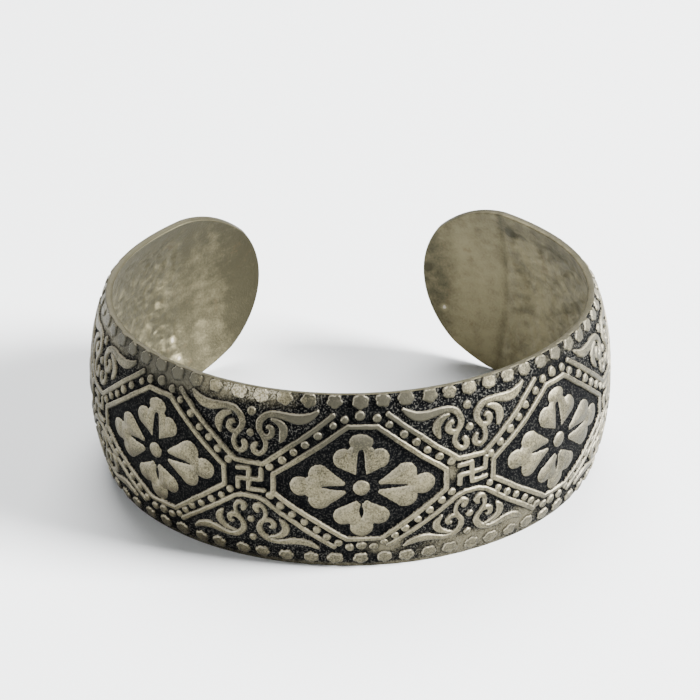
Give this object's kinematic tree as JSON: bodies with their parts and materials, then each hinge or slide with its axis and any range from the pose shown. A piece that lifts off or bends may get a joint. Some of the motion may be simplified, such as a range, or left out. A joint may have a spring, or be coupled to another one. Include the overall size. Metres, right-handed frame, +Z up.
{
  "type": "engraved cuff bracelet",
  "caption": "Open oval cuff bracelet: a domed metal strip with rounded ends, raised flowers in beaded frames, fret crosses, scrolls and rows of dots on its outer face.",
  "frame": {"origin": "centre of the bounding box at its bottom, on the surface that the lower edge rests on", "axes": "+Z up along the height of the strip, +Y towards the opening, -Y towards the middle flower, +X to the right seen from the front"},
  "size_m": [0.0622, 0.0559, 0.0224],
  "materials": {
    "cuff": "worn silver-coloured metal, near-black patina in the ground, warm grey tops, dull olive-grey inner face"
  },
  "bodies": {
    "root": {"cuff": "cuff"}
  },
  "joints": []
}
